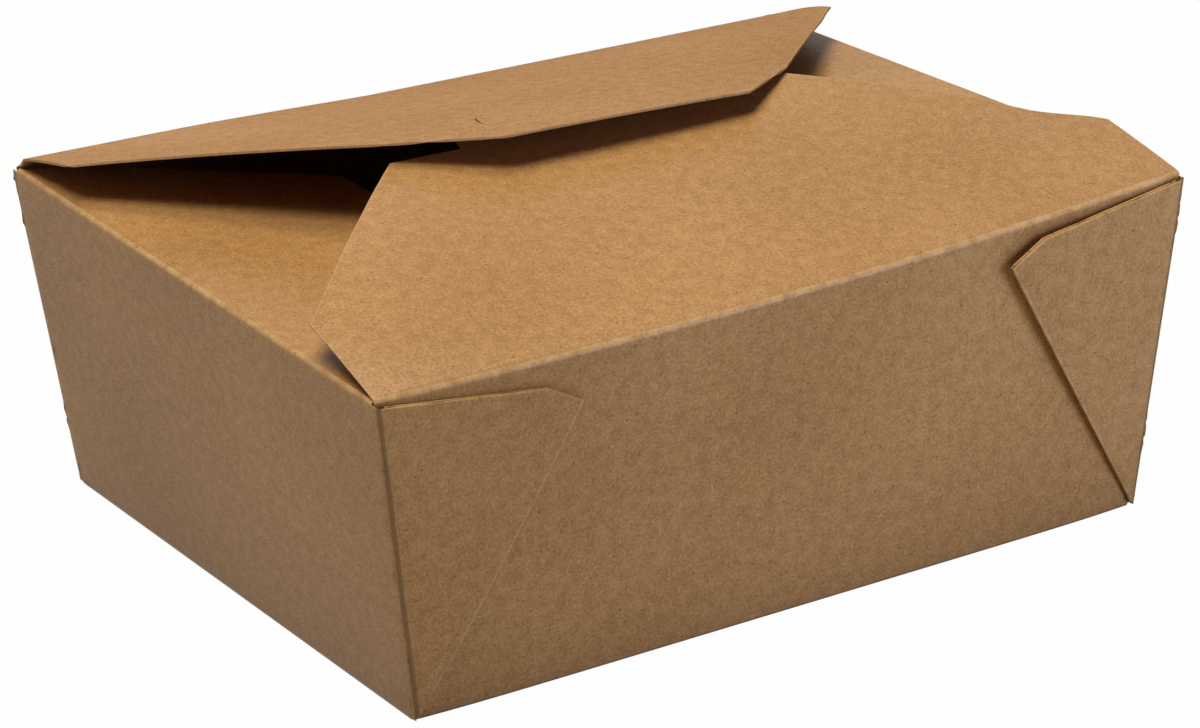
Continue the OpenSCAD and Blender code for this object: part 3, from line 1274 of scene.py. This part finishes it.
@dataclass(frozen=True)
class CutEdge:
    """Die-cut edge of the board: raw fibres, paler than the face and in fine layers."""

    name: str = "kraft_board_cut_edge"
    dark: str = "#a98258"
    pale: str = "#cba578"
    layer_mm: float = 0.3
    fray_mm: float = 0.08
    roughness: float = 0.92
    shine: float = 0.2

    def build(self) -> bpy.types.Material:
        """Makes the material's nodes and returns the material."""
        material, tree = new_material(self.name)
        place = add_node(tree, "ShaderNodeTexCoord").outputs["Object"]
        fray = add_node(
            tree, "ShaderNodeTexNoise", {"Vector": place, "Scale": 1 / (self.layer_mm * MM), "Detail": 2.0}
        ).outputs["Fac"]
        colour = add_ramp(tree, fray, ((0.35, self.dark), (0.65, self.pale)))
        bump = add_bump(tree, fray, self.fray_mm, strength=0.6)
        shader = add_node(
            tree, "ShaderNodeBsdfPrincipled",
            {"Base Color": colour, "Roughness": self.roughness, "Normal": bump,
             "Specular IOR Level": self.shine},
        )
        add_node(tree, "ShaderNodeOutputMaterial", {"Surface": shader.outputs[0]})
        return material


@dataclass(frozen=True)
class Lamp:
    """A soft square lamp aimed at the middle of the box."""

    name: str
    place: tuple[float, float, float]
    size: float
    power: float
    colour: str = "#ffffff"

    def add(self, aim: Vector) -> None:
        """Hangs the lamp so that it faces the aim."""
        data = bpy.data.lights.new(self.name, "AREA")
        data.shape, data.size, data.energy = "SQUARE", self.size, self.power
        data.color = linear(self.colour)[:3]
        lamp = bpy.data.objects.new(self.name, data)
        bpy.context.scene.collection.objects.link(lamp)
        lamp.location, lamp.visible_camera = self.place, False
        lamp.rotation_mode = "QUATERNION"
        lamp.rotation_quaternion = (aim - Vector(self.place)).to_track_quat("-Z", "Y")


@dataclass(frozen=True)
class Studio:
    """Pale floor, soft lamps and the camera at the photograph's angle."""

    camera_place: tuple[float, float, float] = (-0.3873995, -0.6004514, 0.3105065)
    camera_right: tuple[float, float, float] = (0.8363225, -0.5479998, -0.0161519)
    camera_up: tuple[float, float, float] = (0.2150803, 0.3008574, 0.9290992)
    lens: float = 122.859
    floor_size: float = 12
    floor_colour: str = "#dadada"
    floor_glow: float = 0.98
    sky_colour: str = "#f2f6ff"
    sky_strength: float = 0.03
    lamps: tuple[Lamp, ...] = (
        Lamp("top_left_softbox", (-0.3, -0.1, 0.88), 0.4, 5.2, "#fff8e2"),
        Lamp("back_softbox", (0.117, 0.202, 0.909), 0.4, 3.2, "#fff8e2"),
        Lamp("left_softbox", (-0.235, 0.0, 0.31), 0.16, 0.05, "#fcf0e0"),
        Lamp("front_right_softbox", (0.134, -0.301, 0.085), 0.16, 0.36, "#d4e1ff"),
    )

    def build(self) -> None:
        """Sets the view transform, the world, the floor, the lamps and the camera."""
        scene = bpy.context.scene
        scene.view_settings.view_transform = "Standard"
        self.add_sky(scene)
        self.add_floor()
        for lamp in self.lamps:
            lamp.add(Vector((0, 0, 0.04)))
        data = bpy.data.cameras.new("camera")
        data.lens, data.sensor_width = self.lens, 36
        data.clip_start, data.clip_end = 0.01, 100
        camera = bpy.data.objects.new("camera", data)
        scene.collection.objects.link(camera)
        right, up = Vector(self.camera_right), Vector(self.camera_up)
        turned = Matrix((right, up, right.cross(up))).transposed()
        camera.matrix_world = Matrix.Translation(self.camera_place) @ turned.to_4x4()
        scene.camera = camera

    def shown_white(self, tree: Tree) -> Socket:
        """1 for rays that show the background itself or its reflection, otherwise 0."""
        path = add_node(tree, "ShaderNodeLightPath").outputs
        seen = add_math(tree, "MAXIMUM", path["Is Camera Ray"], path["Is Glossy Ray"])
        return add_math(tree, "MAXIMUM", seen, path["Is Transmission Ray"])

    def add_sky(self, scene: bpy.types.Scene) -> None:
        """A pale even sky that the camera sees as white."""
        world = bpy.data.worlds.new("studio_sky")
        scene.world = world
        world.use_nodes = True
        tree = world.node_tree
        tree.nodes.clear()
        fill = add_node(
            tree, "ShaderNodeBackground", {"Color": linear(self.sky_colour), "Strength": self.sky_strength}
        ).outputs[0]
        white = add_node(tree, "ShaderNodeBackground", {"Color": (1, 1, 1, 1), "Strength": 1.0}).outputs[0]
        mixed = add_blend(tree, self.shown_white(tree), fill, white)
        add_node(tree, "ShaderNodeOutputWorld", {"Surface": mixed})

    def add_floor(self) -> None:
        """A plain floor, seen as white with the box's soft shadow on it."""
        bpy.ops.object.select_all(action="DESELECT")
        bpy.ops.mesh.primitive_plane_add(size=self.floor_size)
        floor = bpy.context.object
        floor.name = "floor"
        material, tree = new_material("pale_paper_floor")
        paper = add_node(
            tree, "ShaderNodeBsdfDiffuse", {"Color": linear(self.floor_colour), "Roughness": 1.0}
        ).outputs[0]
        glow = add_node(tree, "ShaderNodeEmission", {"Color": (1, 1, 1, 1), "Strength": 1.0}).outputs[0]
        washed = add_blend(tree, self.floor_glow, paper, glow)
        mixed = add_blend(tree, self.shown_white(tree), paper, washed)
        add_node(tree, "ShaderNodeOutputMaterial", {"Surface": mixed})
        floor.data.materials.append(material)


def main() -> None:
    """Builds the box piece by piece, then the studio, and logs each piece and the lamps."""
    logging.basicConfig(level=logging.INFO, format="%(name)s: %(message)s")
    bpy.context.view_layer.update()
    sizes = BoxSizes()
    stance = Stance(sizes)
    outer = KraftBoard().build()
    # The greaseproof film deepens the brown of the inside and gives it a soft sheen
    lining = KraftBoard(
        name="kraft_board_film_lining", shade="#9c7145", body="#b18554", light="#c39a69",
        roughness=0.6, film=0.35,
    ).build()
    cut = CutEdge().build()

    CartonBody(sizes, stance).build().finish("carton", "carton_body", (lining, outer, cut))

    # The back flap's face is painted a little darker and greyer than the walls: painted shade and a painted
    # sheen for how it tilts from the light, in a shaded copy of the outer board
    shaded_flap_face = KraftBoard(
        name="kraft_board_flap_painted_shade", shade="#9f7756", body="#b38b67", light="#c39e7d"
    ).build()
    BackFlap(sizes, stance).build().finish("back_flap", "back_flap", (shaded_flap_face, lining, cut))

    Studio().build()
    LOG.info("studio: camera, floor and %d lamps", len(Studio().lamps))


if __name__ == "__main__":
    main()
